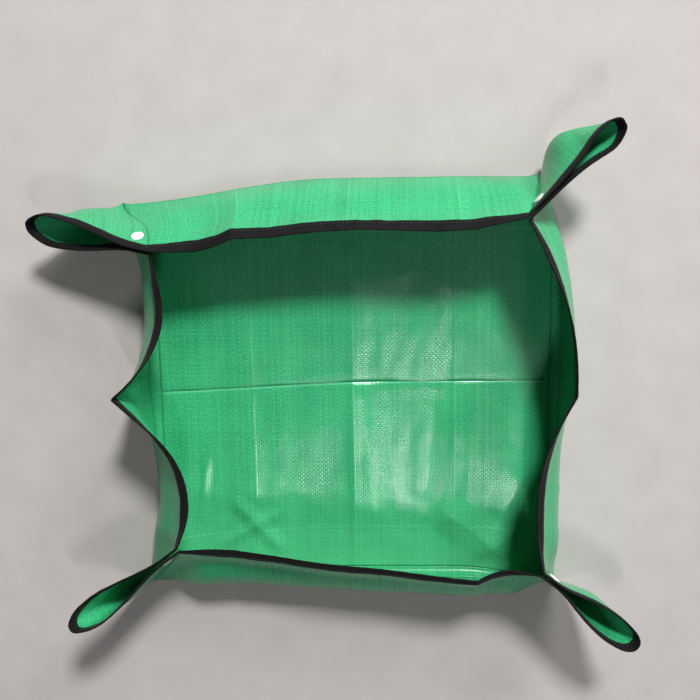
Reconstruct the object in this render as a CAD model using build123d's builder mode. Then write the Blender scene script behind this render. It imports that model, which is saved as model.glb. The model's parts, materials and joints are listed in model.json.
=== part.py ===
from build123d import *
import os
from math import acos, atan2, cos, pi, radians, sin, sqrt

# Foldable potting tray: a square woven sheet with a bound edge, pinched into four ears and held by snaps.
# The tray rests on its base with its mouth up. The origin is the middle of the base's underside.

# Driving dimensions in millimetres and degrees
base_side = 453.0
wall_height = 113.5
sheet = 0.4
tape = 0.45
binding_width = 10.0
corner_trim = 28.0
ear_start = 10.0

# Clearances at the folds and around the tape and the snaps
base_gap = 0.4
wall_gap = 0.7
root_gap = 0.35
binding_gap = 1.1
tip_gap = 1.2
seam_gap = 0.35
tape_clearance = 0.12
seat_clearance = 0.15
mate_clearance = 0.1
bore_clearance = 0.2
closing_gap = 0.4
cut_margin = 3.0

# Corner snaps
cap_diameter = 13.0
cap_height = 1.4
cap_rim = 0.6
cap_taper = 55.0
shank_diameter = 2.4
socket_diameter = 10.0
socket_height = 2.4
socket_bevel = 0.4
stud_diameter = 4.4
stud_height = 1.9
stud_neck = 0.5
stud_undercut = 0.3
stud_taper = 12.0
flange_height = 0.8
snap_drop = 26.0
snap_offset = 10.0

# Shape of an ear's opening: the flat stretch at the snap, then a curve drawn out by three handles
# Each handle is a share of the ear's length and of its half width
snap_flat = 22.0
ear_facets = 9
root_handle = (0.4, 0.0)
belly_handle = (0.62, 1.8)
tip_handle = (1.02, 1.1)

# Each corner: sides of x and y, how far its pinch leans in from each fold, the ear's heading and half width
# The leans and the width are shares of the wall's height
corners = {
    "back_left": (-1, 1, 0.273, 0.652, 180.0, 0.15),
    "back_right": (1, 1, 0.441, 0.405, 45.0, 0.1),
    "front_right": (1, -1, 0.264, 0.388, -39.0, 0.115),
    "front_left": (-1, -1, 0.379, 0.59, 217.0, 0.11),
}

# Each wall: the axis it runs along, its side and its two corners
walls = {
    "back": ("x", 1, "back_left", "back_right"),
    "front": ("x", -1, "front_left", "front_right"),
    "left": ("y", -1, "front_left", "back_left"),
    "right": ("y", 1, "front_right", "back_right"),
}
# A station is a share of the base's side, its lean as a share of the wall's height, and if it is a crease
# The rim bends sharply at a crease, runs level past the other stations and is straight between two creases
rim_shapes = {
    "back": [(-0.345, 0.634, False), (-0.252, 0.52, True), (0.02, 0.449, True), (0.28, 0.476, True)],
    "front": [(-0.276, 0.555, True), (0.007, 0.414, True), (0.289, 0.304, True), (0.37, 0.392, False)],
    "left": [(-0.235, 0.476, False), (0.013, -0.115, True), (0.2, 0.34, False)],
    "right": [(-0.25, 0.308, False), (0.013, 0.0, True), (0.04, 0.0, False)],
}
curve_steps = 4

# How far each wall bellies out, as a share of its height, and the belly's shape in shares of height and depth
wall_bellies = {"back": 0.053, "front": 0.176, "left": 0.079, "right": 0.088}
belly_shape = ((0.25, 0.7), (0.5, 1.0), (0.75, 0.6))
belly_run_out = 45.0
belly_trace = 0.03
hem_margin = 1.5

half_side = base_side / 2
ear_reach = wall_height * sqrt(2) - corner_trim
fold_height = sheet / 2
layer_gap = sheet + 2 * seat_clearance + socket_height + flange_height + mate_clearance
layer_place = layer_gap / 2
slot_half = sheet / 2 + tape_clearance
tape_half = slot_half + tape

os.makedirs("parts", exist_ok=True)


class Corner:
    """A pinched corner: two parallel layers from the base corner up to the rim, and the ear beyond them."""

    def __init__(self, side_x, side_y, lean_x, lean_y, heading, width):
        self.belly = width * wall_height
        inset_x = lean_x * wall_height
        inset_y = lean_y * wall_height
        self.fold_end = Vector(side_x * half_side, side_y * half_side, fold_height)
        mean_inset = (inset_x + inset_y) / 2
        rise = sqrt(wall_height**2 + mean_inset**2 - inset_x**2 - inset_y**2)
        self.pinch = self.fold_end + Vector(-side_x * inset_x, -side_y * inset_y, rise)
        outward = Vector(cos(radians(heading)), sin(radians(heading)), 0)
        self.foot = self.fold_end
        # The foot settles where both layers start on their own walls' folds
        for _ in range(4):
            self.rise = (self.pinch - self.foot).normalized()
            self.out = (outward - self.rise * outward.dot(self.rise)).normalized()
            across = self.rise.cross(self.out).normalized()
            self.across = across if across.Y * side_y > 0 else across * -1
            shift = Vector(self.across.X, -self.across.Y, 0) * layer_place
            self.foot = self.fold_end + shift
        self.root_length = (self.pinch - self.foot).length
        angle_x = acos(self.rise.dot(Vector(-side_x, 0, 0)))
        angle_y = acos(self.rise.dot(Vector(0, -side_y, 0)))
        spread = (1.5 * pi - angle_x - angle_y) / 2 - radians(closing_gap)
        self.tip = self.foot + (self.rise * cos(spread) + self.out * sin(spread)) * ear_reach
        self.along = (self.tip - self.pinch).normalized()
        self.length = (self.tip - self.pinch).length
        snap_rise = self.root_length * (1 - snap_drop / wall_height)
        self.snap = self.foot + self.rise * snap_rise + self.out * snap_offset

    def layer(self, axis):
        """The side of the pinch that belongs to the wall that runs along this axis."""
        return self.across if axis == "x" else self.across * -1

    def root(self, axis, share):
        """A point on the layer's bend line, from the base at 0 to the rim at 1."""
        return self.foot + self.layer(axis) * layer_place + self.rise * (self.root_length * share)

    def rim_plane(self, axis, share):
        """The plane of the ear's edge, drawn in towards the base corner by a share."""
        side = self.layer(axis)
        return Plane(self.root(axis, share), x_dir=self.along, z_dir=self.along.cross(side))

    def band(self, axis, share, width, first, last):
        """A strip across the ear half, this wide, from one place on its edge curve to another."""
        length = self.length * share
        belly = self.belly * share
        handles = [(length * x, belly * y) for x, y in (root_handle, belly_handle, tip_handle)]
        curve = Bezier((snap_flat * share, 0), *handles, (length, 0), mode=Mode.PRIVATE)
        reach = 1 - last / length
        row = [curve @ (reach * step / ear_facets) for step in range(ear_facets + 1)]
        points = [Vector(first, 0), *row, Vector(row[-1].X, seam_gap - layer_place)]
        with BuildSketch(self.rim_plane(axis, share)) as strip:
            with BuildLine():
                Polyline(*strip_outline(points, width), close=True)
            make_face()
        return strip.sketch.face()


def strip_outline(points, width):
    """The outline of a strip this wide along a row of points, mitred where the row turns."""
    ways = [(after - before).normalized() for before, after in zip(points, points[1:])]
    left, right = [], []
    for point, before, after in zip(points, [ways[0], *ways], [*ways, ways[-1]]):
        mean_way = (before + after).normalized()
        reach = width / 2 / mean_way.dot(after)
        across = Vector(-mean_way.Y, mean_way.X) * reach
        left.append(point + across)
        right.append(point - across)
    return [*left, *reversed(right)]


def ease(share, creased, next_creased):
    """How far a curve has come at a share of its run: level at an end that isn't creased."""
    if creased and next_creased:
        return share
    if creased:
        return 1 - (1 - share) ** 2
    if next_creased:
        return share**2
    return (1 - cos(pi * share)) / 2


class Wall:
    """One side of the tray: a sheet ruled from its straight fold up to a rim that leans in and out."""

    def __init__(self, axis, side, first, last, stations, belly):
        self.axis = axis
        self.belly = belly * wall_height
        self.run = Vector(1, 0, 0) if axis == "x" else Vector(0, 1, 0)
        self.inward = Vector(0, -side, 0) if axis == "x" else Vector(-side, 0, 0)
        self.fold = self.inward * -half_side + Vector(0, 0, fold_height)
        self.ends = (pinched[first], pinched[last])
        self.stations = [(place * base_side, lean * wall_height, crease) for place, lean, crease in stations]

    def end_stations(self, corner, way):
        """The rim at a pinched end, kept at the same lean out past the end of the fold."""
        rim = corner.root(self.axis, 1) - self.fold
        lean = (rim.dot(self.inward), rim.Z)
        return [(way * (half_side + cut_margin), *lean), (rim.dot(self.run), *lean)]

    def rim_stations(self):
        """The rim's stations as place, inset and height, with more of them where the rim is curved."""
        before, after = (self.end_stations(corner, way) for corner, way in zip(self.ends, (-1, 1)))
        marks = [(*before[1][:2], True), *self.stations, (*after[1][:2], True)]
        rim = [*before]
        for (place, inset, creased), (next_place, next_inset, next_creased) in zip(marks, marks[1:]):
            steps = 1 if creased and next_creased else curve_steps
            for step in range(1, steps + 1):
                share = step / steps
                eased = ease(share, creased, next_creased)
                lean = inset + (next_inset - inset) * eased
                rim.append((place + (next_place - place) * share, lean, sqrt(wall_height**2 - lean**2)))
        return [*rim[:-1], *reversed(after)]

    def bulge(self, place):
        """How deep the belly is at a place along the wall: it runs out to a trace at the pinched ends."""
        first, last = ((corner.root(self.axis, 1) - self.fold).dot(self.run) for corner in self.ends)
        end_gap = min(place - first, last - place)
        return self.belly * min(max(end_gap / belly_run_out, belly_trace), 1)

    def section(self, station, outline):
        """A section across the wall, with its outline given up the wall and in from the sheet's middle."""
        place, inset, height = station
        lean = atan2(inset, height)
        corner_points = []
        for up, inner in outline:
            x = up * sin(lean) + inner * cos(lean)
            y = up * cos(lean) - inner * sin(lean)
            corner_points.append((x, y))
        facing = self.inward.cross(Vector(0, 0, 1))
        plane = Plane(self.fold + self.run * place, x_dir=self.inward, z_dir=facing)
        with BuildSketch(plane) as cut:
            with BuildLine():
                Polyline(*corner_points, close=True)
            make_face()
        return cut.sketch.face()

    def end_cut(self, corner, way, gap):
        """The plane along a pinched end's bend line, square to the wall and this far inside it."""
        outward = self.run * way
        facing = (outward - corner.rise * outward.dot(corner.rise)).normalized()
        return Plane(corner.root(self.axis, 0) - facing * gap, z_dir=facing)


def rim_length(station):
    """How far the rim is up the wall from its fold."""
    return sqrt(station[1] ** 2 + station[2] ** 2)


def sheet_outline(length, bulge):
    """The wall's sheet, from just above its fold: bellied out up to its hem, then straight to its rim."""
    hem = length - binding_width - hem_margin
    row = [Vector(hem * up, -bulge * out) for up, out in belly_shape]
    outline = strip_outline([Vector(wall_gap, 0), *row, Vector(hem, 0), Vector(length, 0)], sheet)
    return [(point.X, point.Y) for point in outline]


def tape_outline(length):
    """The tape, folded over the sheet's edge."""
    hem = length - binding_width
    edge = length + tape_clearance
    return [
        (hem, slot_half), (hem, tape_half), (edge + tape, tape_half), (edge + tape, -tape_half),
        (hem, -tape_half), (hem, -slot_half), (edge, -slot_half), (edge, slot_half),
    ]


pinched = {name: Corner(*values) for name, values in corners.items()}
sides = {name: Wall(*values, rim_shapes[name], wall_bellies[name]) for name, values in walls.items()}

# Base
with BuildPart() as base:
    panel_side = base_side - 2 * base_gap
    Box(panel_side, panel_side, sheet, align=(Align.CENTER, Align.CENTER, Align.MIN))
base.part.label = "base_panel"
export_step(base.part, "parts/base_panel.step")

# Walls and the tape along their rims
for name, wall in sides.items():
    sheet_cuts, tape_cuts = [], []
    for station in wall.rim_stations():
        length = rim_length(station)
        sheet_cuts.append(wall.section(station, sheet_outline(length, wall.bulge(station[0]))))
        tape_cuts.append(wall.section(station, tape_outline(length)))
    for prefix, cuts, gap in (("wall", sheet_cuts, root_gap), ("binding", tape_cuts, binding_gap)):
        with BuildPart() as strip:
            loft(cuts, ruled=True)
            for corner, way in zip(wall.ends, (-1, 1)):
                split(bisect_by=wall.end_cut(corner, way, gap), keep=Keep.BOTTOM)
        strip.part.label = f"{prefix}_{name}"
        export_step(strip.part, f"parts/{prefix}_{name}.step")

# Ears: each half fans out from the base corner to its share of the opening's edge
for name, wall in sides.items():
    for corner_name, corner in pinched.items():
        if corner not in wall.ends:
            continue
        axis = wall.axis
        start_share = ear_start / corner.root_length
        mean_reach = (corner.root_length + ear_reach) / 2
        hem_share = 1 - binding_width / mean_reach
        edge_share = 1 + (tape_clearance + tape) / mean_reach
        slot_share = 1 + tape_clearance / mean_reach
        snap_plane = Plane(corner.snap, x_dir=corner.rise, z_dir=corner.across)

        with BuildPart() as ear:
            low = corner.band(axis, start_share, sheet, root_gap, 0)
            high = corner.band(axis, 1, sheet, root_gap, 0)
            loft([low, high], ruled=True)
            with BuildSketch(snap_plane):
                Circle(shank_diameter / 2 + bore_clearance)
            extrude(amount=layer_gap, both=True, mode=Mode.SUBTRACT)
        ear.part.label = f"ear_{corner_name}_on_{name}"
        export_step(ear.part, f"parts/ear_{corner_name}_on_{name}.step")

        with BuildPart() as hem:
            low = corner.band(axis, hem_share, 2 * tape_half, binding_gap, tip_gap)
            high = corner.band(axis, edge_share, 2 * tape_half, binding_gap, tip_gap)
            loft([low, high], ruled=True)
            low = corner.band(axis, start_share, 2 * slot_half, 0, 0)
            high = corner.band(axis, slot_share, 2 * slot_half, 0, 0)
            loft([low, high], ruled=True, mode=Mode.SUBTRACT)
        hem.part.label = f"binding_{corner_name}_on_{name}"
        export_step(hem.part, f"parts/binding_{corner_name}_on_{name}.step")

# Snaps: cap and socket on the layer of the front or back wall, stud and cap on the layer facing it
socket_back = layer_place - sheet / 2 - seat_clearance
socket_face = socket_back - socket_height
flange_back = -layer_place + sheet / 2 + seat_clearance
flange_face = flange_back + flange_height
shank_length = sheet + 2 * seat_clearance

for name, corner in pinched.items():
    for half, way, seat in (("socket", 1, socket_back), ("stud", -1, -flange_back)):
        with BuildPart() as cap:
            cap_plane = Plane(corner.snap, x_dir=corner.rise, z_dir=corner.across * way)
            with BuildSketch(cap_plane.offset(seat)):
                Circle(shank_diameter / 2)
            extrude(amount=shank_length)
            with BuildSketch(cap_plane.offset(seat + shank_length)):
                Circle(cap_diameter / 2)
            extrude(amount=cap_rim)
            with BuildSketch(cap_plane.offset(seat + shank_length + cap_rim)):
                Circle(cap_diameter / 2)
            extrude(amount=cap_height - cap_rim, taper=cap_taper)
        cap.part.label = f"snap_{half}_cap_{name}"
        export_step(cap.part, f"parts/snap_{half}_cap_{name}.step")

    with BuildPart() as socket:
        snap_plane = Plane(corner.snap, x_dir=corner.rise, z_dir=corner.across)
        with BuildSketch(snap_plane.offset(socket_face)):
            Circle(socket_diameter / 2)
        extrude(amount=socket_height)
        with BuildSketch(snap_plane.offset(socket_face)):
            Circle(stud_diameter / 2 + bore_clearance)
        extrude(amount=stud_height + bore_clearance, mode=Mode.SUBTRACT)
        chamfer(socket.edges().filter_by(GeomType.CIRCLE).group_by(SortBy.RADIUS)[-1], socket_bevel)
    socket.part.label = f"snap_socket_{name}"
    export_step(socket.part, f"parts/snap_socket_{name}.step")

    with BuildPart() as stud:
        with BuildSketch(snap_plane.offset(flange_back)):
            Circle(socket_diameter / 2)
        extrude(amount=flange_height)
        with BuildSketch(snap_plane.offset(flange_face)):
            Circle(stud_diameter / 2 - stud_undercut)
        extrude(amount=stud_neck)
        with BuildSketch(snap_plane.offset(flange_face + stud_neck)):
            Circle(stud_diameter / 2)
        extrude(amount=stud_height - stud_neck, taper=stud_taper)
    stud.part.label = f"snap_stud_{name}"
    export_step(stud.part, f"parts/snap_stud_{name}.step")
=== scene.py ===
import bpy
import json
import numpy as np
from math import atan2, cos, pi, radians, sin, sqrt
from mathutils import Matrix, Vector


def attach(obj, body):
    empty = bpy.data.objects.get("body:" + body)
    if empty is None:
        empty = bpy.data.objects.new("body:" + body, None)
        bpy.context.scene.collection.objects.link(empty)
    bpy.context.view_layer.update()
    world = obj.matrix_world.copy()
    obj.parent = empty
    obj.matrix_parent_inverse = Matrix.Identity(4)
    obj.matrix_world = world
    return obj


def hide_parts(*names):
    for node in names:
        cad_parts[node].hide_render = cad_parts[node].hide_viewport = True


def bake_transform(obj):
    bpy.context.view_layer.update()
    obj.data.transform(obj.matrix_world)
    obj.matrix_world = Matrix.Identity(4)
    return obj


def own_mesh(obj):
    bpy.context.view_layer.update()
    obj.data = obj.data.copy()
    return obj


# Woven potting tray: a green coated sheet with a black bound edge, pinched at its corners by white snaps
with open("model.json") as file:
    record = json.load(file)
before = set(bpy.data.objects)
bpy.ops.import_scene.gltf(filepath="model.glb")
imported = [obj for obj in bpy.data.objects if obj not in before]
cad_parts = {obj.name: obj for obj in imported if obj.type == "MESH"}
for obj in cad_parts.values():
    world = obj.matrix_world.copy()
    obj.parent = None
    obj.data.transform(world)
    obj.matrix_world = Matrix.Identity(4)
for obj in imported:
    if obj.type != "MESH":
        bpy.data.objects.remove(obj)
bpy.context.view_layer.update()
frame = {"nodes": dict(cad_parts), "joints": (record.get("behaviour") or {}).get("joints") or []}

# Sizes of the tray in millimetres, as in the solid model
mm = 0.001
up_axis = np.array([0, 0, 1.0])
base_side = 453.0
half_side = base_side / 2
wall_height = 113.5
tip_cut = 28
ear_reach = wall_height * sqrt(2) - tip_cut
fold_height = 0.2
layer_place = 2.0
binding_width = 10.0
snap_drop = 26.0
snap_offset = 10.0
snap_flat = 22.0
closing_gap = radians(0.4)

# Handles of an ear's edge, as shares of its length and of its belly: one ear opens late
even_ear = ((0.4, 0.0), (0.62, 1.8), (1.02, 1.1))
late_ear = ((0.6, -0.1), (0.72, 1.25), (1.03, 1.3))
ear_handles = {"back_left": even_ear, "back_right": late_ear, "front_right": even_ear, "front_left": even_ear}

# Corners: the sides they lie on, how far their rims lean in, the heading of the ear and its belly
corners = {
    "back_left": (-1, 1, 0.273, 0.652, 180.0, 0.15),
    "back_right": (1, 1, 0.441, 0.405, 45.0, 0.1),
    "front_right": (1, -1, 0.264, 0.388, -39.0, 0.115),
    "front_left": (-1, -1, 0.379, 0.59, 217.0, 0.11),
}

# Walls: the axis each runs along, its side and the corners at its ends
walls = {
    "back": ("x", 1, "back_left", "back_right"),
    "front": ("x", -1, "front_left", "front_right"),
    "left": ("y", -1, "front_left", "back_left"),
    "right": ("y", 1, "front_right", "back_right"),
}

# Stations of each rim: the place along the wall, the lean inward and whether the rim is creased there
rim_shapes = {
    "back": [(-0.345, 0.634, False), (-0.252, 0.52, True), (0.02, 0.449, True), (0.28, 0.476, True)],
    "front": [(-0.276, 0.555, True), (0.007, 0.414, True), (0.289, 0.304, True), (0.37, 0.392, False)],
    "left": [(-0.235, 0.476, False), (0.013, -0.115, True), (0.2, 0.34, False)],
    "right": [(-0.25, 0.308, False), (0.013, 0.0, True), (0.04, 0.0, False)],
}

# Places where the soft sheet is pulled aside: the spot, the pull and how far round it the pull is felt
edge_pulls = [
    ((-half_side, half_side, 0), (-24, -23, 0), (200, 110, 95)),
    ((-165, 155, 95), (-1.5, 0, 6), (150, 80, 60)),
    ((290, 272, 105), (-10, -11, -10), (90, 90, 90)),
    ((-262, 195, 20), (0, 8, 0), (45, 60, 50)),
    ((half_side, half_side, 0), (-12, -2, 0), (120, 110, 95)),
    ((half_side, -half_side, 0), (1, -12, 0), (110, 90, 95)),
    ((-half_side, -half_side, 0), (-16, -12, 0), (100, 100, 95)),
]

# Twist of the ears in degrees: how near to the ear's plane it works, and how it sets in beyond the root
ear_twists = {"back_left": 6.0, "back_right": 24.0, "front_right": 8.0, "front_left": 0.0}
twist_near = 100.0
twist_fade = 60.0
twist_start = 18.0
twist_run = 70.0

# Shape of a wall between fold and rim: its belly, waves and storage creases, calm near its pinched ends
wall_bellies = {"back": 0.053, "front": 0.176, "left": 0.079, "right": 0.088}
belly_place = 0.85
belly_roundness = 1.5
hem_gap = 1.5
wall_wavelength = 90.0
wall_crease_height = 0.9
wall_crease_width = 5.0
end_calm = 45.0

# Turn of the hem: out above the belly, then in at the rim, in full where the wall leans far
hem_turn = 2.3
hem_out = 1.2
hem_out_start = 32.0
hem_out_run = 22.0
hem_in = 2.2
hem_in_run = 11.0
hem_full_lean = 0.35

# Storage creases: how far apart they lie across the sheet and along it, and the slant of the middle one
crease_column = base_side / 4
crease_row = 170.0
crease_slant = 0.05

# Upright creases of the base: the place, height and the run out before and after each
column_ridges = [
    (-crease_column, 0.9, 16, 6),
    (0, 2.4, 22, 20),
    (crease_column, 1.7, 6, 30),
]

# Crumples of the base: where each starts and ends, its height and half width
base_crumples = [
    ((112, -158), (186, -214), 4.5, 26),
    ((128, -214), (176, -176), 3.5, 20),
    ((186, -120), (150, -196), 2.5, 24),
    ((-128, -150), (-96, -186), 2.6, 13),
    ((-138, -182), (-100, -160), 2.0, 10),
    ((-171, -108), (-176, -150), 1.7, 7),
    ((112, -40), (104, -160), 2.0, 22),
    ((12, -20), (20, -150), 1.6, 26),
]
crumple_run_out = 30.0

# Pillows of the base, the groove along its middle crease, its calmer parts and its border by the folds
pillow_height = 1.6
pillow_width = 60.0
groove_depth = 1.5
groove_width = 3.0
groove_zone = 100.0
smooth_side = 110.0
upper_share = 0.3
lower_start = 30.0
lower_run = 80.0
border_width = 44.0
draw_start_x = 130.0
draw_start_y = 180.0

# What the look adds: cloth thickness, soft folds, tape, stitches and snap caps
cloth = 0.5
fold_radius = 8.0
fold_run_out = 9.0
fold_rows = 9
panel_gap = 0.4
tip_gap = 0.3
tape_step = 2.2
tape_overlap = 0.3
hem_zone = 2.0
stitch_pitch = 4.4
stitch_half = 1.6
stitch_radius = 0.3
stitch_inset = 7.4
stitch_lift = 0.86
stitch_dip = 0.16
stitch_spread = 1.2
stitch_end_gap = 1.5
cap_seat = 0.32
hem_wave_height = 0.35
pucker_share = 0.1

# Ears: where their layers begin to close, where they lie calm, and their waves
close_start = 0.3
root_calm = 0.35
tip_calm = 0.25
foot_calm = 0.25
foot_calm_run = 0.4
least_scale = 0.004
ear_wave_height = 0.7
ear_wavelength = 60.0

# How closely the meshes' points lie
column_step = 3.0
wall_rows = 41
ear_columns = 61
ear_rows = 49
ear_samples = 200
rim_samples = 1200
base_ticks = 201
crease_zone = (-13.3, 4)
crease_step = 0.7

# How the opened sheet lies: its height off the floor
flat_height = 1.5


# Small helpers for points and curves
def unit(vector):
    """The vector at a length of one."""
    return vector / np.linalg.norm(vector)


def smooth(value):
    """A soft step from 0 to 1."""
    value = np.clip(value, 0, 1)
    return value * value * (3 - 2 * value)


def ripple(u, v, wavelength, seed, waves=9):
    """Gentle uneven waves over a flat sheet, between about -1 and 1."""
    dice = np.random.default_rng(seed)
    total = np.zeros(np.broadcast(u, v).shape)
    for _ in range(waves):
        heading = dice.uniform(0, 2 * pi)
        length = wavelength * dice.uniform(0.7, 1.5)
        total += np.sin((u * cos(heading) + v * sin(heading)) * 2 * pi / length + dice.uniform(0, 2 * pi))
    return total / sqrt(waves)


def crease_gap(value, spacing):
    """The distance to the nearest storage crease."""
    return np.abs((value / spacing + 0.5) % 1 - 0.5) * spacing


def ease(share, creased, next_creased):
    """A share of the way between two stations of a rim: straight off a crease, level off a soft one."""
    if creased and next_creased:
        return share
    if creased:
        return 1 - (1 - share) ** 2
    if next_creased:
        return share**2
    return (1 - np.cos(pi * share)) / 2


def turn(axis, angle):
    """The matrix of a turn about an axis."""
    return np.array(Matrix.Rotation(angle, 3, Vector(axis)))


class Corner:
    """A pinched corner: two layers from the base corner up to the rim, and the ear beyond them."""

    def __init__(self, side_x, side_y, lean_x, lean_y, heading, width):
        self.belly = width * wall_height
        inset_x, inset_y = lean_x * wall_height, lean_y * wall_height
        fold_end = np.array([side_x * half_side, side_y * half_side, fold_height])
        mean_inset = (inset_x + inset_y) / 2
        height = sqrt(wall_height**2 + mean_inset**2 - inset_x**2 - inset_y**2)
        pinch = fold_end + np.array([-side_x * inset_x, -side_y * inset_y, height])
        outward = np.array([cos(radians(heading)), sin(radians(heading)), 0])
        self.foot = fold_end
        settling_rounds = 4
        for _ in range(settling_rounds):
            self.rise = unit(pinch - self.foot)
            self.out = unit(outward - self.rise * (outward @ self.rise))
            across = unit(np.cross(self.rise, self.out))
            self.across = across if across[1] * side_y > 0 else -across
            self.foot = fold_end + np.array([self.across[0], -self.across[1], 0]) * layer_place
        self.root_length = np.linalg.norm(pinch - self.foot)
        angle_x = np.arccos(self.rise @ np.array([-side_x, 0, 0]))
        angle_y = np.arccos(self.rise @ np.array([0, -side_y, 0]))
        spread = (1.5 * pi - angle_x - angle_y) / 2 - closing_gap
        tip = self.foot + (self.rise * cos(spread) + self.out * sin(spread)) * ear_reach
        self.along = unit(tip - pinch)
        self.length = np.linalg.norm(tip - pinch)
        snap_rise = self.root_length * (1 - snap_drop / wall_height)
        self.snap = self.foot + self.rise * snap_rise + self.out * snap_offset

    def layer(self, axis):
        """The way from the pinch's middle to the layer that runs on from a wall along this axis."""
        return self.across if axis == "x" else -self.across

    def root(self, axis, share):
        """A point of the ear's root on one layer, from the base corner at 0 to the rim at 1."""
        return self.foot + self.layer(axis) * layer_place + self.rise * (self.root_length * share)

    def twisted(self, points, angle):
        """Points turned about the ear's rim, more and more from just before its root on."""
        pinch = self.foot + self.rise * self.root_length
        gap = points - pinch
        near = smooth((twist_near - np.abs(gap @ self.across)) / twist_fade)
        share = near * smooth((gap @ self.out + twist_start) / twist_run)
        turned = radians(angle) * share[..., None]
        along_part = self.along * (gap @ self.along)[..., None]
        beside = gap - along_part
        return pinch + along_part + beside * np.cos(turned) + np.cross(self.along, beside) * np.sin(turned)


def hung(points):
    """Points of the sheet as it hangs: ears twisted, and places of the sheet pulled aside."""
    moved = np.array(points, float)
    for name, corner in pinched.items():
        moved = corner.twisted(moved, ear_twists[name])
    for place, pull, reach in edge_pulls:
        gap = (points - np.array(place)) / np.array(reach)
        moved = moved + np.array(pull) * smooth(1 - np.linalg.norm(gap, axis=-1))[..., None]
    return moved


class Wall:
    """One wall: a sheet from its fold up to a leaning rim, with a soft belly and slight waves."""

    def __init__(self, name, axis, side, first, last):
        self.name, self.axis, self.side = name, axis, side
        self.run = np.array([1.0, 0, 0]) if axis == "x" else np.array([0, 1.0, 0])
        self.inward = np.array([0, -side, 0.0]) if axis == "x" else np.array([-side, 0.0, 0])
        self.fold = self.inward * -half_side + np.array([0, 0, fold_height])
        self.ends = (pinched[first], pinched[last])
        self.seed = 11 + len(name) * 7 + side
        ends = [corner.root(axis, 1) - self.fold for corner in self.ends]
        stations = rim_shapes[name]
        inner = [(place * base_side, lean * wall_height, creased) for place, lean, creased in stations]
        first_mark, last_mark = ((end @ self.run, end @ self.inward, True) for end in ends)
        self.marks = [first_mark, *inner, last_mark]
        self.limits = (0.0, len(self.marks) - 1.0)

    def end_place(self, end, up):
        """Where the wall ends along its fold, at a length up the wall."""
        corner = self.ends[end]
        foot = (corner.root(self.axis, 0) - self.fold) @ self.run
        top = (corner.root(self.axis, 1) - self.fold) @ self.run
        return foot + (top - foot) * np.clip(up / wall_height, 0, 1.2)

    def place(self, share, up):
        """A share of the wall's length, counted by its stations, as a place along the fold."""
        share = np.asarray(share, float)
        stops = [self.end_place(0, up), *(mark[0] for mark in self.marks[1:-1]), self.end_place(1, up)]
        result = np.zeros(np.broadcast(share, up).shape)
        for index in range(len(stops) - 1):
            part = np.clip(share - index, 0, 1)
            start, stop = stops[index], stops[index + 1]
            result = np.where(share >= index, start + (stop - start) * part, result)
        return result

    def even_shares(self, step):
        """Shares at even steps along the wall, with one on each station."""
        stops = [mark[0] for mark in self.marks]
        counts = [max(int((after - before) / step), 2) for before, after in zip(stops, stops[1:])]
        parts = [index + np.arange(count) / count for index, count in enumerate(counts)]
        return np.concatenate([*parts, [self.limits[1]]])

    def lean(self, place):
        """How far in the rim stands at a place."""
        inset = np.full(np.shape(place), self.marks[0][1])
        for (start, low, creased), (stop, high, next_creased) in zip(self.marks, self.marks[1:]):
            part = np.clip((place - start) / (stop - start), 0, 1)
            inset = np.where(place > start, low + (high - low) * ease(part, creased, next_creased), inset)
        return inset

    def rim_height(self, place, inset):
        """How high the rim stands at a place: it comes to each corner's own height at its pinched ends."""
        height = np.sqrt(wall_height**2 - inset**2)
        first_end = (self.ends[0], self.marks[0], self.marks[1])
        last_end = (self.ends[1], self.marks[-1], self.marks[-2])
        for corner, mark, beside in (first_end, last_end):
            corner_height = (corner.root(self.axis, 1) - self.fold)[2]
            raised = corner_height - sqrt(wall_height**2 - mark[1] ** 2)
            height = height + raised * np.clip((beside[0] - place) / (beside[0] - mark[0]), 0, 1)
        return height

    def fold_bend(self, place):
        """How far the soft fold reaches up the wall and into the base: nothing at the corners."""
        return fold_radius * smooth((half_side - np.abs(place)) / fold_run_out)

    def at(self, share, drop):
        """The sheet's middle at a share of the wall's length and a distance below its rim."""
        return hung(self.upright(share, drop))

    def upright(self, share, drop):
        """The same point before the sheet is pulled aside and its ears are twisted."""
        up = wall_height - np.asarray(drop, float)
        place = self.place(share, up)
        inset = self.lean(place)
        rim = self.rim_height(place, inset)
        angle = np.arctan2(inset, rim)
        rise = up * np.hypot(inset, rim) / wall_height
        share_up = np.clip(up / wall_height, 0, 1)
        from_start = smooth((place - self.end_place(0, up)) / end_calm)
        to_end = smooth((self.end_place(1, up) - place) / end_calm)
        below_hem = np.clip(up / (wall_height - binding_width - hem_gap), 0, 1)
        swell = np.sin(pi * below_hem**belly_place) ** belly_roundness
        belly = wall_bellies[self.name] * wall_height * swell
        belly = belly + ripple(place, up, wall_wavelength, self.seed) * np.sin(pi * share_up / 2)
        creased = np.exp(-crease_gap(place, crease_column) / wall_crease_width)
        belly = belly + wall_crease_height * creased * np.sin(pi * share_up)
        rim_gap = wall_height - up
        hem = hem_out * smooth((hem_out_start - rim_gap) / hem_out_run)
        hem = hem - hem_in * smooth((hem_in_run - rim_gap) / hem_in_run)
        belly = belly + hem_turn * smooth(inset / (hem_full_lean * wall_height)) * hem
        out = belly * (from_start * to_end)
        inwards = rise * np.sin(angle) - out * np.cos(angle)
        height = rise * np.cos(angle) + out * np.sin(angle)
        along = self.fold + self.run * place[..., None]
        return along + self.inward * inwards[..., None] + up_axis * height[..., None]

    def flat(self, share, drop):
        """The same point on the flat cut sheet, in metres."""
        up = wall_height - np.asarray(drop, float)
        place = self.place(share, up)
        far = (half_side + up) * self.side
        pair = (place, far + 0 * place) if self.axis == "x" else (far + 0 * place, place)
        return np.stack(pair, axis=-1) * mm


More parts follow.
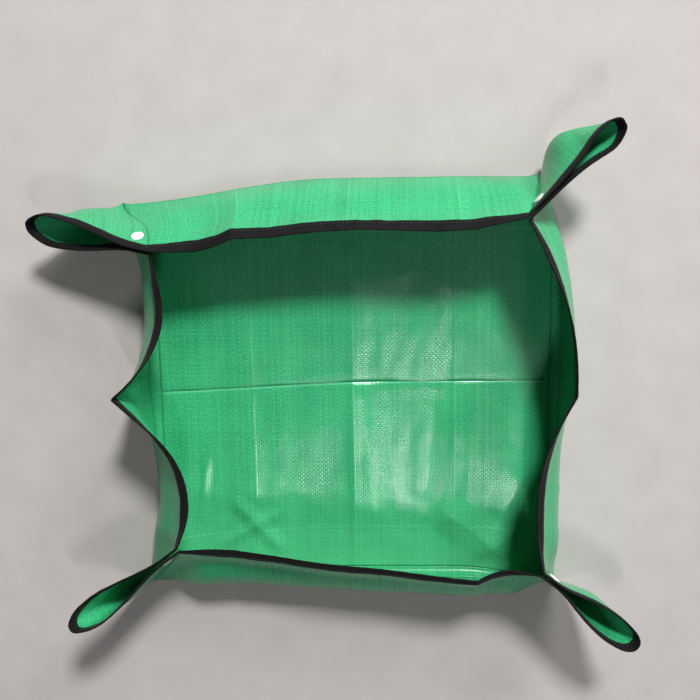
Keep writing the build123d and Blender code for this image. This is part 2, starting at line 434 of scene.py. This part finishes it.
class Ear:
    """One half of a pinched corner's ear: a soft cone from the base corner to the ear's edge."""

    limits = (0.0, 1.0)

    def __init__(self, corner_name, wall):
        self.corner, self.wall = pinched[corner_name], wall
        self.handles = ear_handles[corner_name]
        self.axis = wall.axis
        self.seed = 31 + len(corner_name) + len(wall.name) * 3
        self.apex = self.corner.root(self.axis, 0)
        edge_points = self.edge(np.linspace(0, 1, ear_samples)) - self.apex
        reach = np.linalg.norm(edge_points, axis=1)
        rays = edge_points / reach[:, None]
        steps = np.arccos(np.clip(np.sum(rays[1:] * rays[:-1], axis=1), -1, 1))
        self.swept = np.concatenate([[0], np.cumsum(steps)])
        end = 0 if self.corner is wall.ends[0] else 1
        root_top = np.array([wall.end_place(end, wall_height), half_side + wall_height])
        root_foot = np.array([wall.end_place(end, 0.0), half_side])
        heading = root_top - root_foot
        self.flat_root = root_foot
        self.flat_start = atan2(heading[1], heading[0])
        self.flat_way = 1 if end == 0 else -1

    def edge(self, share):
        """The ear's edge: flat at the snap, then round to the tip."""
        corner, side = self.corner, self.corner.layer(self.axis)
        straight = snap_flat / corner.length
        part = np.clip((share - straight) / (1 - straight), 0, 1)
        controls = [(snap_flat, 0.0), *((corner.length * x, corner.belly * y) for x, y in self.handles)]
        controls.append((corner.length, -layer_place))
        rest = 1 - part
        weights = [rest**4, 4 * part * rest**3, 6 * part**2 * rest**2, 4 * part**3 * rest, part**4]
        reach = sum(weight * control[0] for weight, control in zip(weights, controls))
        bulge = sum(weight * control[1] for weight, control in zip(weights, controls))
        reach = np.where(share < straight, share * corner.length, reach)
        return corner.root(self.axis, 1) + corner.along * reach[..., None] + side * bulge[..., None]

    def at(self, share, drop):
        """The sheet's middle at a share of the ear's edge and a distance in from it."""
        share = np.asarray(share, float)
        edge = self.edge(share)
        layer = self.corner.layer(self.axis)
        closing = layer_place * smooth((share - close_start) / (1 - close_start))
        apex = self.apex - layer * closing[..., None]
        reach = np.linalg.norm(edge - apex, axis=-1)
        scale = np.maximum(1 - drop / reach, least_scale)
        point = apex + (edge - apex) * scale[..., None]
        calm = smooth(share / root_calm) * smooth((1 - share) / tip_calm)
        calm = calm * smooth((scale - foot_calm) / foot_calm_run)
        wave = ear_wave_height * ripple(share * reach, scale * reach, ear_wavelength, self.seed)
        return hung(point + layer * (wave * calm)[..., None])

    def flat(self, share, drop):
        """The same point on the flat cut sheet, in metres."""
        share = np.asarray(share, float)
        reach = np.linalg.norm(self.edge(share) - self.apex, axis=-1)
        angle = self.flat_start + self.flat_way * np.interp(share, np.linspace(0, 1, ear_samples), self.swept)
        distance = np.maximum(reach - drop, 0)
        place = self.flat_root[0] + np.cos(angle) * distance
        far = (self.flat_root[1] + np.sin(angle) * distance) * self.wall.side
        pair = (place, far) if self.axis == "x" else (far, place)
        return np.stack(pair, axis=-1) * mm


pinched = {name: Corner(*values) for name, values in corners.items()}
sides = {name: Wall(name, *values) for name, values in walls.items()}


# Meshes from grids of points
def grid_normals(points):
    """Normals of a grid of points, one to a point."""
    rows = np.gradient(points, axis=0)
    columns = np.gradient(points, axis=1)
    normals = np.cross(rows, columns)
    return normals / np.maximum(np.linalg.norm(normals, axis=2, keepdims=True), 1e-12)


def grid_faces(rows, columns, offset=0, flip=False):
    """Four-sided faces between the neighbours of a grid."""
    index = np.arange(rows * columns).reshape(rows, columns) + offset
    round_face = [index[:-1, :-1], index[1:, :-1], index[1:, 1:], index[:-1, 1:]]
    quads = np.stack(round_face, axis=-1).reshape(-1, 4)
    return quads[:, ::-1] if flip else quads


def ring_faces(rings, around, start=0):
    """Faces of a closed form made of rings of points, with its two ends capped."""
    faces = []
    for ring in range(rings - 1):
        low = start + ring * around
        high = low + around
        for step in range(around):
            following = (step + 1) % around
            faces.append((low + step, low + following, high + following, high + step))
    faces.append(tuple(start + step for step in reversed(range(around))))
    faces.append(tuple(start + (rings - 1) * around + step for step in range(around)))
    return faces


def make_mesh(name, points, faces, flat=None):
    """A smooth mesh object from points in millimetres, with its cut-sheet places as its UV map."""
    mesh = bpy.data.meshes.new(name)
    mesh.from_pydata((np.asarray(points) * mm).tolist(), [], [list(map(int, face)) for face in faces])
    mesh.validate()
    mesh.shade_smooth()
    if flat is not None:
        layer = mesh.uv_layers.new(name="cut")
        picks = np.zeros(len(mesh.loops), int)
        mesh.loops.foreach_get("vertex_index", picks)
        layer.data.foreach_set("uv", np.asarray(flat, np.float32)[picks].ravel())
    thing = bpy.data.objects.new(name, mesh)
    bpy.context.scene.collection.objects.link(thing)
    return thing


def cloth_shell(name, points, flat):
    """A closed thin sheet about a grid of middle points."""
    rows, columns = points.shape[:2]
    normals = grid_normals(points)
    count = rows * columns
    faces = [grid_faces(rows, columns), grid_faces(rows, columns, count, flip=True)]
    index = np.arange(count).reshape(rows, columns)
    border = np.concatenate([index[0, :-1], index[:-1, -1], index[-1, :0:-1], index[:0:-1, 0]])
    after = np.roll(border, -1)
    faces.append(np.stack([border, after, after + count, border + count], axis=-1))
    layers = [points + normals * (cloth / 2), points - normals * (cloth / 2)]
    vertices = np.concatenate([layer.reshape(-1, 3) for layer in layers])
    return make_mesh(name, vertices, np.concatenate(faces), np.tile(flat.reshape(-1, 2), (2, 1)))


def grid_area(points):
    """The area of a grid of points, in square metres."""
    diagonal = points[1:, 1:] - points[:-1, :-1]
    other = points[1:, :-1] - points[:-1, 1:]
    return float(np.linalg.norm(np.cross(diagonal, other), axis=2).sum() / 2 * mm * mm)


# How each panel lies flat when the tray is opened out
joints = {joint["name"]: joint for joint in frame["joints"]}


def open_turn(name):
    """A fold's pivot in metres and its turn when fully opened."""
    joint = joints[name]
    return np.array(joint["pos_m"]), turn(joint["axis"], radians(max(joint["range_deg"])))


def floor_seen_from(*folds):
    """The floor plane's direction and a point on it, as seen at rest by a panel opened by these folds."""
    direction = up_axis
    point = np.array([0, 0, flat_height * mm])
    for fold in folds:
        pivot, opened = open_turn(fold)
        direction = opened.T @ direction
        point = opened.T @ (point - pivot) + pivot
    return direction, point


def settle(thing, body, fold, floor, material, slot_name, *nodes):
    """Puts a piece on its body, hides the solid model's parts that it stands for and gives it its finish; a
    piece with a fold gets a mesh of its own.
    """
    thing.data.materials.append(material)
    if nodes:
        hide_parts(*nodes)
    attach(thing, body)
    if fold:
        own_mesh(thing)
    return thing


# Tape and stitches along a panel's rim
def rim_frame(panel, share, drop):
    """Points on the panel with the ways along the rim, up to the rim and out of the sheet."""
    point = panel.at(share, drop)
    step = 1e-3
    along = panel.at(share + step, drop) - panel.at(share - step, drop)
    along = along / np.linalg.norm(along, axis=-1, keepdims=True)
    half_drop = 0.5
    rise = panel.at(share, drop - half_drop) - panel.at(share, drop + half_drop)
    out = np.cross(along, rise)
    out = out / np.linalg.norm(out, axis=-1, keepdims=True)
    return point, along, np.cross(out, along), out


def rim_shares(panel, first, last, step):
    """Shares evenly spaced along a panel's rim, from a gap after its start to a gap before its end."""
    fine = np.linspace(*panel.limits, rim_samples)
    measured_drop = 3.0
    points = panel.at(fine, np.full(fine.shape, measured_drop))
    length = np.concatenate([[0], np.cumsum(np.linalg.norm(np.diff(points, axis=0), axis=1))])
    count = max(int((length[-1] - first - last) / step), 3)
    return np.interp(np.linspace(first, length[-1] - last, count), length, fine)


# The tape's section on one face: the distance in from the rim and the height above the sheet's middle
tape_face = [
    (binding_width, 0.30),
    (binding_width, 0.62),
    (binding_width - 0.5, 0.86),
    (binding_width - 1.6, 0.92),
    (binding_width * 0.72, 0.74),
    (binding_width * 0.5, 0.95),
    (2.6, 1.02),
    (0.9, 0.96),
    (-0.1, 0.72),
    (-0.5, 0.28),
]
other_face = [(drop, -lift) for drop, lift in reversed(tape_face)]
tape_inside = [(0.5, -0.28), (0.5, 0.28)]
tape_profile = tape_face + other_face + tape_inside


def tape_mesh(name, panel, first, last):
    """The tape folded over a panel's rim, slightly puckered by its stitches."""
    shares = rim_shares(panel, first, last, tape_step)
    place = np.arange(len(shares)) * tape_step
    hem_wave = hem_wave_height * ripple(place, place * 0, wavelength=26, seed=panel.seed + 3)
    rows = []
    flats = []
    for number, (drop, lift) in enumerate(tape_profile):
        hem = drop > binding_width - hem_zone
        drops = drop + (hem_wave if hem else 0) + 0 * shares
        point, _, _, out = rim_frame(panel, shares, drops)
        pucker = 1 + pucker_share * ripple(place, place * 0 + lift, wavelength=12, seed=panel.seed + 5)
        rows.append(point + out * (lift * pucker)[:, None])
        flats.append(np.stack([place, np.full(place.shape, number * 1.0)], axis=-1) * mm)
    points = np.stack(rows, axis=1)
    flats = np.stack(flats, axis=1)
    first_end = points[:1] + (points[:1] - points[1:2]) * tape_overlap
    last_end = points[-1:] + (points[-1:] - points[-2:-1]) * tape_overlap
    points = np.concatenate([first_end, points, last_end])
    flats = np.concatenate([flats[:1], flats, flats[-1:]])
    count, around = points.shape[:2]
    index = np.arange(count * around).reshape(count, around)
    beside = np.roll(index, -1, axis=1)
    faces = np.stack([index[:-1], beside[:-1], beside[1:], index[1:]], axis=-1).reshape(-1, 4)
    ends = [index[0, ::-1], index[-1]]
    return make_mesh(name, points.reshape(-1, 3), [*faces, *ends], flats.reshape(-1, 2))


def stitch_mesh(name, panel, first, last):
    """A row of stitches on each face of the tape, sunk a little into it."""
    shares = rim_shares(panel, first + stitch_end_gap, last + stitch_end_gap, stitch_pitch)
    rings = [(-1.0, 0.25), (-0.85, 0.75), (-0.4, 1.0), (0.4, 1.0), (0.85, 0.75), (1.0, 0.25)]
    around = 6
    angles = np.arange(around) * 2 * pi / around
    point, along, rise, out = rim_frame(panel, shares, np.full(shares.shape, stitch_inset))
    vertices, faces = [], []
    for face in (1, -1):
        centre = point + out * (face * stitch_lift)
        for number in range(len(shares)):
            faces.extend(ring_faces(len(rings), around, len(vertices)))
            for reach, width in rings:
                dip = -stitch_dip * reach * reach
                for angle in angles:
                    spot = centre[number] + along[number] * (reach * stitch_half)
                    spot = spot + rise[number] * (cos(angle) * width * stitch_radius * stitch_spread)
                    spot = spot + out[number] * face * (sin(angle) * width * stitch_radius + dip)
                    vertices.append(spot)
    return make_mesh(name, np.array(vertices), faces)


# Materials
class Shade:
    """A node's output whose arithmetic adds Math nodes."""

    def __init__(self, tree, socket):
        self.tree, self.socket = tree, socket

    def math(self, operation, *others):
        """A Math node on this value and others."""
        values = dict(enumerate((self, *others)))
        return add_node(self.tree, "ShaderNodeMath", {"operation": operation}, values)

    def swapped(self, operation, other):
        """A Math node with this value as its second input."""
        return add_node(self.tree, "ShaderNodeMath", {"operation": operation}, {0: other, 1: self})

    def __add__(self, other):
        return self.math("ADD", other)

    def __sub__(self, other):
        return self.math("SUBTRACT", other)

    def __mul__(self, other):
        return self.math("MULTIPLY", other)

    def __truediv__(self, other):
        return self.math("DIVIDE", other)

    def __rsub__(self, other):
        return self.swapped("SUBTRACT", other)

    __radd__ = __add__
    __rmul__ = __mul__

    def clamp(self):
        """The value kept between 0 and 1."""
        return add_node(self.tree, "ShaderNodeClamp", {}, {0: self})


def add_node(tree, kind, settings, values, output=0):
    """Adds a node: its settings first, then the values or links of its sockets."""
    node = tree.nodes.new(kind)
    for key, value in settings.items():
        setattr(node, key, value)
    for key, value in values.items():
        if isinstance(value, Shade):
            tree.links.new(value.socket, node.inputs[key])
        else:
            node.inputs[key].default_value = value
    return Shade(tree, node.outputs[output])


def new_finish(name, **constants):
    """A material with its surface shader and the values that are the same all over."""
    material = bpy.data.materials.new(name)
    material.use_nodes = True
    shader = material.node_tree.nodes["Principled BSDF"]
    for key, value in constants.items():
        shader.inputs[key.replace("_", " ")].default_value = value
    return material, material.node_tree, shader


def feed(tree, shader, socket, value):
    """Links a value to one of the surface shader's sockets."""
    tree.links.new(value.socket, shader.inputs[socket])


def mix_colour(tree, factor, first, second):
    """A colour between two others."""
    settings = {"data_type": "RGBA"}
    return add_node(tree, "ShaderNodeMix", settings, {0: factor, 6: first, 7: second}, 2)


def line_gap(value, spacing):
    """The distance to the nearest of evenly spaced lines."""
    share = (value / spacing + 0.5).math("FRACT")
    return (share - 0.5).math("ABSOLUTE") * spacing


def woven_sheet(name, gloss, painted_sheen_share, painted_crease_light_share):
    """Green coated weave: flat tapes over and under, streaked, and paler along the storage creases, with
    painted shade and painted highlight lines along the middle row crease and a painted sheen towards the
    front.
    """
    material, tree, shader = new_finish(name, IOR=1.5, Specular_IOR_Level=gloss)
    cut = add_node(tree, "ShaderNodeUVMap", {"uv_map": "cut"}, {})
    across = add_node(tree, "ShaderNodeSeparateXYZ", {}, {0: cut}, 0)
    length = add_node(tree, "ShaderNodeSeparateXYZ", {}, {0: cut}, 1)
    pitch = 0.0024
    crease_half = 0.0012
    shade_half = 0.0013
    highlight_half = 0.001
    highlight_offset = 0.0012
    painted_sheen_start = 0.1
    deep_green = (0.010, 0.17, 0.066, 1)
    full_green = (0.064, 0.58, 0.25, 1)
    crease_and_highlight_green = (0.20, 0.68, 0.38, 1)
    painted_shade_green = (0.006, 0.08, 0.03, 1)
    painted_sheen_green = (0.16, 0.66, 0.34, 1)
    warp_wave = (across * (pi / pitch)).math("SINE")
    weft_wave = (length * (pi / pitch)).math("SINE")
    warp = warp_wave.math("ABSOLUTE").math("POWER", 0.7)
    weft = weft_wave.math("ABSOLUTE").math("POWER", 0.7)
    over = (warp_wave * weft_wave * 4.0 + 0.5).clamp()
    weave = weft + (warp - weft) * over
    warp_number = (across * (1 / pitch)).math("FLOOR")
    weft_number = (length * (1 / pitch)).math("FLOOR") + 1000.5
    warp_tone = add_node(tree, "ShaderNodeTexWhiteNoise", {"noise_dimensions": "1D"}, {"W": warp_number})
    weft_tone = add_node(tree, "ShaderNodeTexWhiteNoise", {"noise_dimensions": "1D"}, {"W": weft_number})
    tape_tone = weft_tone * 0.4 + 0.3 + (warp_tone - weft_tone * 0.4 - 0.3) * over
    streak_place = add_node(tree, "ShaderNodeCombineXYZ", {}, {0: across * (1 / pitch), 1: length * 6.0})
    streak = add_node(tree, "ShaderNodeTexNoise", {}, {"Vector": streak_place, "Scale": 0.6, "Detail": 2.0})
    patch = add_node(tree, "ShaderNodeTexNoise", {}, {"Vector": cut, "Scale": 14.0, "Detail": 3.0})
    fine = add_node(tree, "ShaderNodeTexNoise", {}, {"Vector": cut, "Scale": 420.0, "Detail": 1.0})
    column_gap = line_gap(across, crease_column * mm)
    row = length - across.math("MINIMUM", 0.0) * crease_slant
    row_gap = line_gap(row, crease_row * mm)
    gap = column_gap.math("MINIMUM", row_gap)
    crease = (1 - gap * (1 / crease_half)).clamp() * (patch * 3.0 - 1.0).clamp()
    tone = weave * 0.42 + over * 0.1 + tape_tone * 0.22 + streak * 0.22
    tone = (tone + patch * 0.35 + fine * 0.6 - 0.61).clamp()
    colour = mix_colour(tree, tone, deep_green, full_green)
    colour = mix_colour(tree, crease * 0.25, colour, crease_and_highlight_green)
    # Painted shade: a dark line just above the middle row crease, where the crease's upper flank lies in
    # shade
    painted_shade_line = (1 - (row - shade_half).math("ABSOLUTE") * (1 / shade_half)).clamp()
    colour = mix_colour(tree, painted_shade_line * painted_crease_light_share, colour, painted_shade_green)
    # Painted highlight: a pale line just below the middle row crease, on the flank that faces the light
    painted_highlight_line = (1 - (row + highlight_offset).math("ABSOLUTE") * (1 / highlight_half)).clamp()
    colour = mix_colour(tree, painted_highlight_line * (painted_crease_light_share * 0.6), colour, crease_and_highlight_green)
    # Painted sheen: the base turns paler towards its front edge, in place of glossy haze there
    wear_and_painted_sheen = ((length + painted_sheen_start) * -9.0).clamp() * painted_sheen_share
    colour = mix_colour(tree, wear_and_painted_sheen, colour, painted_sheen_green)
    feed(tree, shader, "Base Color", colour)
    feed(tree, shader, "Roughness", patch * 0.06 + fine * 0.08 + 0.1 + crease * 0.1)
    relief = weave + streak * 0.3 + (1 - gap * (1 / 0.002)).clamp() * 1.2
    bump = add_node(tree, "ShaderNodeBump", {}, {"Strength": 0.3, "Distance": 0.0004, "Height": relief})
    feed(tree, shader, "Normal", bump)
    return material


def ribbed_tape():
    """Black woven tape: fine ribs across it, matt, a little greyer where it is worn."""
    material, tree, shader = new_finish("ribbed_tape", Sheen_Weight=0.04, Specular_IOR_Level=0.1)
    cut = add_node(tree, "ShaderNodeUVMap", {"uv_map": "cut"}, {})
    across = add_node(tree, "ShaderNodeSeparateXYZ", {}, {0: cut}, 0)
    around = add_node(tree, "ShaderNodeSeparateXYZ", {}, {0: cut}, 1)
    rib = (across * (2 * pi / 0.0011)).math("SINE")
    cord = (around * (2 * pi / 0.0009)).math("SINE")
    place = add_node(tree, "ShaderNodeTexCoord", {}, {}, 3)
    wear_and_painted_sheen = add_node(tree, "ShaderNodeTexNoise", {}, {"Vector": place, "Scale": 60.0, "Detail": 4.0})
    lint = add_node(tree, "ShaderNodeTexNoise", {}, {"Vector": place, "Scale": 900.0, "Detail": 2.0})
    tone = (wear_and_painted_sheen * 0.9 + lint * 0.5 + rib * 0.08 - 0.35).clamp()
    colour = mix_colour(tree, tone, (0.0022, 0.0019, 0.0022, 1), (0.011, 0.0098, 0.0108, 1))
    feed(tree, shader, "Base Color", colour)
    feed(tree, shader, "Roughness", lint * 0.2 + 0.62)
    relief = rib * 0.5 + cord * 0.25 + lint
    bump = add_node(tree, "ShaderNodeBump", {}, {"Strength": 0.6, "Distance": 0.0002, "Height": relief})
    feed(tree, shader, "Normal", bump)
    return material


def black_thread():
    """Twisted sewing thread, a little glossier than the tape."""
    material, tree, shader = new_finish("black_thread", Sheen_Weight=0.05)
    place = add_node(tree, "ShaderNodeTexCoord", {}, {}, 3)
    twist = add_node(tree, "ShaderNodeTexNoise", {}, {"Vector": place, "Scale": 1500.0, "Detail": 2.0})
    colour = mix_colour(tree, twist, (0.004, 0.004, 0.0045, 1), (0.019, 0.018, 0.019, 1))
    feed(tree, shader, "Base Color", colour)
    feed(tree, shader, "Roughness", twist * 0.25 + 0.4)
    bump = add_node(tree, "ShaderNodeBump", {}, {"Strength": 0.5, "Distance": 0.0001, "Height": twist})
    feed(tree, shader, "Normal", bump)
    return material


def white_snap():
    """Moulded white plastic with a soft gloss and faint handling marks."""
    constants = {"IOR": 1.49, "Subsurface_Weight": 0.15, "Subsurface_Scale": 0.001}
    material, tree, shader = new_finish("white_snap", **constants)
    place = add_node(tree, "ShaderNodeTexCoord", {}, {}, 3)
    mark = add_node(tree, "ShaderNodeTexNoise", {}, {"Vector": place, "Scale": 380.0, "Detail": 4.0})
    cloud = add_node(tree, "ShaderNodeTexNoise", {}, {"Vector": place, "Scale": 90.0, "Detail": 2.0})
    colour = mix_colour(tree, cloud, (0.62, 0.66, 0.63, 1), (0.71, 0.73, 0.70, 1))
    feed(tree, shader, "Base Color", colour)
    feed(tree, shader, "Roughness", mark * 0.16 + 0.16)
    bump = add_node(tree, "ShaderNodeBump", {}, {"Strength": 0.12, "Distance": 0.0002, "Height": mark})
    feed(tree, shader, "Normal", bump)
    return material


def pale_floor():
    """A plain pale floor with barely uneven tone."""
    material, tree, shader = new_finish("pale_floor")
    place = add_node(tree, "ShaderNodeTexCoord", {}, {}, 3)
    tone = add_node(tree, "ShaderNodeTexNoise", {}, {"Vector": place, "Scale": 26.0, "Detail": 5.0})
    colour = mix_colour(tree, tone, (0.385, 0.358, 0.343, 1), (0.465, 0.436, 0.422, 1))
    feed(tree, shader, "Base Color", colour)
    feed(tree, shader, "Roughness", tone * 0.1 + 0.75)
    return material


base_finish = woven_sheet("base_weave", gloss=0.64, painted_sheen_share=0.25, painted_crease_light_share=0.7)
wall_finish = woven_sheet("wall_weave", gloss=0.2, painted_sheen_share=0.0, painted_crease_light_share=0.0)
tape_finish = ribbed_tape()
thread_finish = black_thread()
snap_finish = white_snap()


# Base of the tray: low pillows between its storage creases, crumpled towards the front
def ridge(x, y, start, end, height, width):
    """A sharp straight ridge on the base, dying away beyond its ends."""
    start, end = np.array(start), np.array(end)
    way = unit(end - start)
    along = (x - start[0]) * way[0] + (y - start[1]) * way[1]
    beside = np.abs((y - start[1]) * way[0] - (x - start[0]) * way[1])
    beyond = np.maximum(np.maximum(-along, along - np.linalg.norm(end - start)), 0)
    return height * np.clip(1 - beside / width, 0, 1) * smooth(1 - beyond / crumple_run_out)


def flank(gap, before, after):
    """A ridge's share of its height at a gap from its crest, with a slope of its own on each side."""
    return np.exp(np.minimum(gap, 0) / before - np.maximum(gap, 0) / after)


def base_lift(x, y):
    """How far the base stands off the floor."""
    row = crease_gap(y - crease_slant * np.minimum(x, 0), crease_row)
    uneven = 0.7 + 0.5 * ripple(x, y, wavelength=90, seed=15)
    lower = upper_share + (1 - upper_share) * smooth((lower_start - y) / lower_run)
    groove = groove_depth * uneven * np.exp(-row / groove_width) * (np.abs(y) < groove_zone)
    lift = pillow_height + pillow_height * smooth(row / pillow_width) - groove
    for place, height, before, after in column_ridges:
        lift = lift + height * lower * (0.75 + 0.35 * uneven) * flank(x - place, before, after)
    fading = 0.5 * smooth((x + smooth_side) / smooth_side)
    lift = lift + fading * ripple(x, y * 0.5, wavelength=100, seed=5)
    lift = lift + 0.2 * ripple(x, y * 0.5, wavelength=48, seed=8)
    lift = lift + 0.1 * ripple(x, y, wavelength=26, seed=21)
    for start, end, height, width in base_crumples:
        lift = lift + ridge(x, y, start, end, height, width)
    border = smooth((half_side - np.maximum(np.abs(x), np.abs(y))) / border_width)
    return lift * border


def drawn_in(value, room, start):
    """Places drawn in towards the middle beyond a start, to leave room for the soft folds."""
    share = smooth((np.abs(value) - start) / (half_side - start))
    return value - np.sign(value) * room * share


def base_points():
    """The base's middle points, closer together across the middle crease."""
    ticks = np.linspace(-half_side, half_side, base_ticks)
    close_ticks = np.arange(*crease_zone, crease_step)
    x, y = np.meshgrid(ticks, np.union1d(ticks, close_ticks), indexing="ij")
    some_wall = sides["back"]
    drawn_x = drawn_in(x, some_wall.fold_bend(y), draw_start_x)
    drawn_y = drawn_in(y, some_wall.fold_bend(x), draw_start_y)
    lift = base_lift(drawn_x, drawn_y) + cloth / 2
    return np.stack([drawn_x, drawn_y, lift], axis=-1)


base_grid = base_points()
base = cloth_shell("base_sheet", hung(base_grid), base_grid[..., :2] * mm)
settle(base, "base", None, None, base_finish, "sheet", "base_panel")


# Walls and ears, each a sheet with tape and stitches along its rim
def bound_sheet(panel, key, kind, folds, shares, lengths, rows, last_gap):
    """A wall or an ear half with its tape and stitches, on the body that the last of its folds turns."""
    body = f"{kind}_{key}"
    fold = folds[-1]
    floor = floor_seen_from(*folds)
    drops = lengths[:, None] * (1 - np.linspace(0, 1, rows))[None, :]
    places = shares[:, None] + 0 * drops
    grid = panel.at(places, drops)
    sheet = cloth_shell(f"{key}_{kind}_sheet", grid, panel.flat(places, drops))
    tape = tape_mesh(f"{key}_{kind}_tape", panel, panel_gap, last_gap)
    stitches = stitch_mesh(f"{key}_{kind}_stitches", panel, panel_gap, panel_gap)
    settle(sheet, body, fold, floor, wall_finish, "sheet", body)
    settle(tape, body, fold, floor, tape_finish, "binding", f"binding_{key}")
    settle(stitches, body, fold, floor, thread_finish, "binding")
    grid_area(grid)


def fold_points(wall):
    """The soft fold between the base and a wall: its middle points and their places on the cut sheet."""
    shares = wall.even_shares(column_step)
    low = wall.place(shares, np.zeros(shares.shape))
    reach = wall.fold_bend(low)
    upper = wall.upright(shares, wall_height - reach)
    above = wall.upright(shares, wall_height - reach - 1.0)
    way = above - upper
    base_edge = wall.fold + wall.run * low[:, None] + wall.inward * reach[:, None]
    base_edge[:, 2] = cloth / 2
    rise = np.maximum(upper[:, 2] - cloth / 2, 0)
    least_climb = 0.2
    corner = upper - way * (rise / np.maximum(way[:, 2], least_climb))[:, None]
    rows = []
    for part in np.linspace(0, 1, fold_rows):
        rows.append(base_edge * (1 - part) ** 2 + corner * 2 * part * (1 - part) + upper * part**2)
    grid = hung(np.stack(rows, axis=1))
    spread = np.linspace(-1, 1, fold_rows)
    flat_far = (half_side + reach[:, None] * spread[None, :]) * wall.side
    flat_near = np.repeat(low[:, None], fold_rows, axis=1)
    pair = (flat_near, flat_far) if wall.axis == "x" else (flat_far, flat_near)
    return grid, np.stack(pair, axis=-1) * mm


for name, wall in sides.items():
    shares = wall.even_shares(column_step)
    lengths = wall_height - wall.fold_bend(wall.place(shares, np.zeros(shares.shape)))
    bound_sheet(wall, name, "wall", [f"wall_{name}_fold"], shares, lengths, wall_rows, panel_gap)

    bend_grid, bend_flat = fold_points(wall)
    bend = cloth_shell(f"{name}_fold_sheet", bend_grid, bend_flat)
    bend.data.materials.append(wall_finish)
    middle = len(bend_grid) // 2
    start = bend_grid[middle, 0] * mm
    rise = (bend_grid[middle, -1, 2] - bend_grid[middle, 0, 2]) * mm
    tuple(start + up_axis * rise)
    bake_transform(bend)
    grid_area(bend_grid)


# Snap caps: the radius and height of each ring, from the foot to the top of the dome
cap_profile = [
    (6.42, 0.0), (6.5, 0.12), (6.5, 0.45), (6.38, 0.68), (6.05, 0.88), (5.5, 1.05), (4.9, 1.16), (4.7, 1.13),
    (4.45, 1.13), (4.25, 1.22), (3.2, 1.34), (1.8, 1.41), (0.6, 1.44),
]


def cap_mesh(name, centre, facing, start):
    """A domed snap cap with a shallow ring, turned about its own axis."""
    around = 56
    side = unit(np.cross(facing, start))
    angles = np.arange(around) * 2 * pi / around
    vertices = []
    for radius, height in cap_profile:
        for angle in angles:
            spot = start * (cos(angle) * radius) + side * (sin(angle) * radius) + facing * height
            vertices.append(centre + spot)
    return make_mesh(name, np.array(vertices), ring_faces(len(cap_profile), around))


def add_cap(corner, corner_name, wall):
    """The snap cap on the outer face of one layer of a corner."""
    half = "socket" if wall.axis == "x" else "stud"
    facing = corner.layer(wall.axis)
    centre = corner.snap + facing * (layer_place + cap_seat)
    centre, front, top = hung(np.stack([centre, centre + facing, centre + corner.rise]))
    facing = unit(front - centre)
    start = unit(top - centre - facing * (facing @ (top - centre)))
    key = f"{corner_name}_on_{wall.name}"
    cap = cap_mesh(f"{key}_snap_cap", centre, facing, start)
    settle(cap, f"ear_{key}", None, None, snap_finish, "snap", f"snap_{half}_cap_{corner_name}")


for corner_name, corner in pinched.items():
    for wall_name in corner_name.split("_"):
        wall = sides[wall_name]
        ear = Ear(corner_name, wall)
        key = f"{corner_name}_on_{wall_name}"
        folds = [f"wall_{wall_name}_fold", f"ear_{key}_fold"]
        shares = np.linspace(0, 1, ear_columns)
        lengths = np.linalg.norm(ear.edge(shares) - ear.apex, axis=-1)
        bound_sheet(ear, key, "ear", folds, shares, lengths, ear_rows, tip_gap)
        add_cap(corner, corner_name, wall)

for name, node in frame["nodes"].items():
    if name.startswith(("snap_socket_", "snap_stud_")):
        node.data.materials.clear()
        node.data.materials.append(snap_finish)


# Floor, light and camera
def add_floor():
    """A plain square floor just below the sheet."""
    size = 6000.0
    gap = 0.6
    ticks = np.linspace(-size / 2, size / 2, 3)
    x, y = np.meshgrid(ticks, ticks, indexing="ij")
    points = np.stack([x, y, np.full(x.shape, -gap)], axis=-1)
    floor = make_mesh("pale_floor", points.reshape(-1, 3), grid_faces(3, 3))
    floor.data.materials.append(pale_floor())


def add_lamp(name, direction, distance, size, power):
    """A soft lamp that faces the middle of the tray."""
    lamp = bpy.data.lights.new(name, "AREA")
    lamp.shape = "ELLIPSE"
    lamp.size = size[0]
    lamp.size_y = size[1]
    lamp.energy = power
    holder = bpy.data.objects.new(name, lamp)
    way = Vector(direction).normalized()
    holder.location = way * distance
    holder.rotation_euler = way.to_track_quat("Z", "Y").to_euler()
    bpy.context.scene.collection.objects.link(holder)


def add_camera():
    """The camera at the photograph's viewing angle, rolled a little."""
    camera = bpy.data.cameras.new("photo_camera")
    camera.lens = 46.3
    camera.sensor_width = 36.0
    holder = bpy.data.objects.new("photo_camera", camera)
    place = Vector((0.045, 0.205, 0.99))
    aim = Vector((-0.003, 0.036, 0))
    back = (place - aim).normalized()
    right = Vector((0, 1, 0)).cross(back).normalized()
    upright = back.cross(right)
    roll = radians(-0.95)
    rolled_right = right * cos(roll) + upright * sin(roll)
    rolled_up = upright * cos(roll) - right * sin(roll)
    turned = Matrix((rolled_right, rolled_up, back)).transposed()
    holder.matrix_world = Matrix.Translation(place) @ turned.to_4x4()
    bpy.context.scene.collection.objects.link(holder)
    bpy.context.scene.camera = holder


add_floor()
add_lamp("key", (0.2, 0.66, 0.73), distance=4.0, size=(0.67, 0.67), power=190)
add_lamp("fill", (0.5, 0.75, 0.42), distance=10.4, size=(4.0, 4.0), power=640)
add_lamp("gloss", (0.12, -0.44, 1.0), distance=1.8, size=(0.12, 0.4), power=6.0)
world = bpy.data.worlds.new("studio")
bpy.context.scene.world = world
world.use_nodes = True
world.node_tree.nodes["Background"].inputs["Color"].default_value = (0.95, 0.97, 1.0, 1)
world.node_tree.nodes["Background"].inputs["Strength"].default_value = 0.1
add_camera()
bpy.context.scene.view_settings.view_transform = "Standard"
